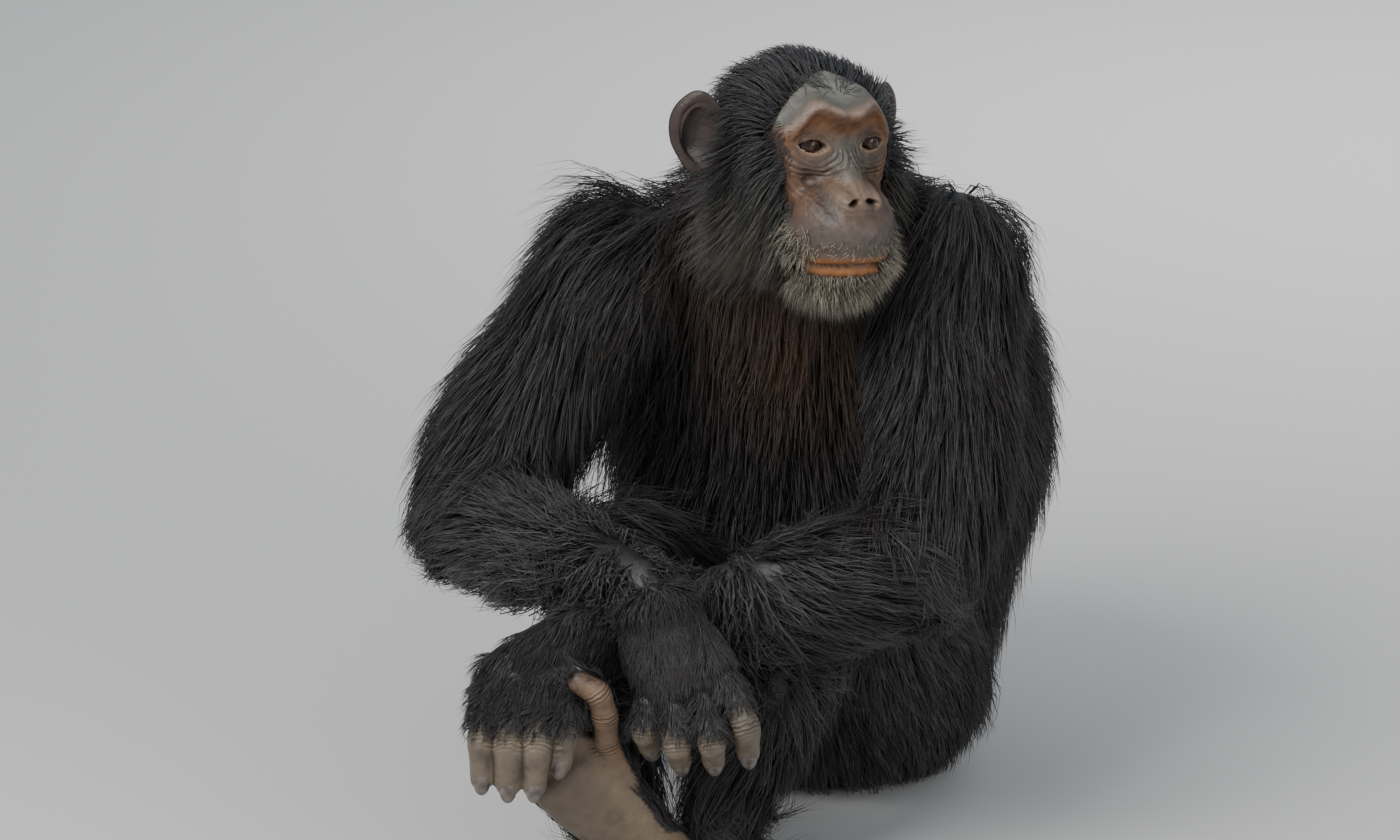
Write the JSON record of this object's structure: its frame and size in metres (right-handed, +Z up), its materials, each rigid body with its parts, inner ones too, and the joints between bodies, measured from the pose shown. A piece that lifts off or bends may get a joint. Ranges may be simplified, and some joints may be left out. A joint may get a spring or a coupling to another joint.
{
  "type": "chimpanzee",
  "caption": "Seated adult male chimpanzee, still model: knees drawn up, forearms crossed in front of them, one hand hanging, the other holding a foot.",
  "frame": {"origin": "on the ground, under the middle of the rump, on the flat that the animal sits on", "axes": "+Z up, -Y roughly the way the chest faces, +X to the side of the animal's left hand"},
  "size_m": [0.6266, 0.7278, 0.7434],
  "materials": {
    "fur": "long, coarse, near-black hair with a soft sheen",
    "skin": "bare wrinkled skin, matt",
    "eye": "wet, glossy, dark brown iris in a dark white",
    "nail": "dull dark grey nail"
  },
  "bodies": {
    "root": {"torso": "fur", "neck": "fur", "head": "fur", "ear_right": "skin", "ear_left": "skin", "thigh_right": "fur", "thigh_left": "fur", "shin_right": "fur", "shin_left": "fur", "foot_right": "skin", "foot_left": "skin", "upper_arm_right": "fur", "upper_arm_left": "fur", "forearm_right": "fur", "forearm_left": "fur", "hand_right": "skin", "hand_left": "skin", "eye_right": "eye", "eye_left": "eye"}
  },
  "joints": []
}
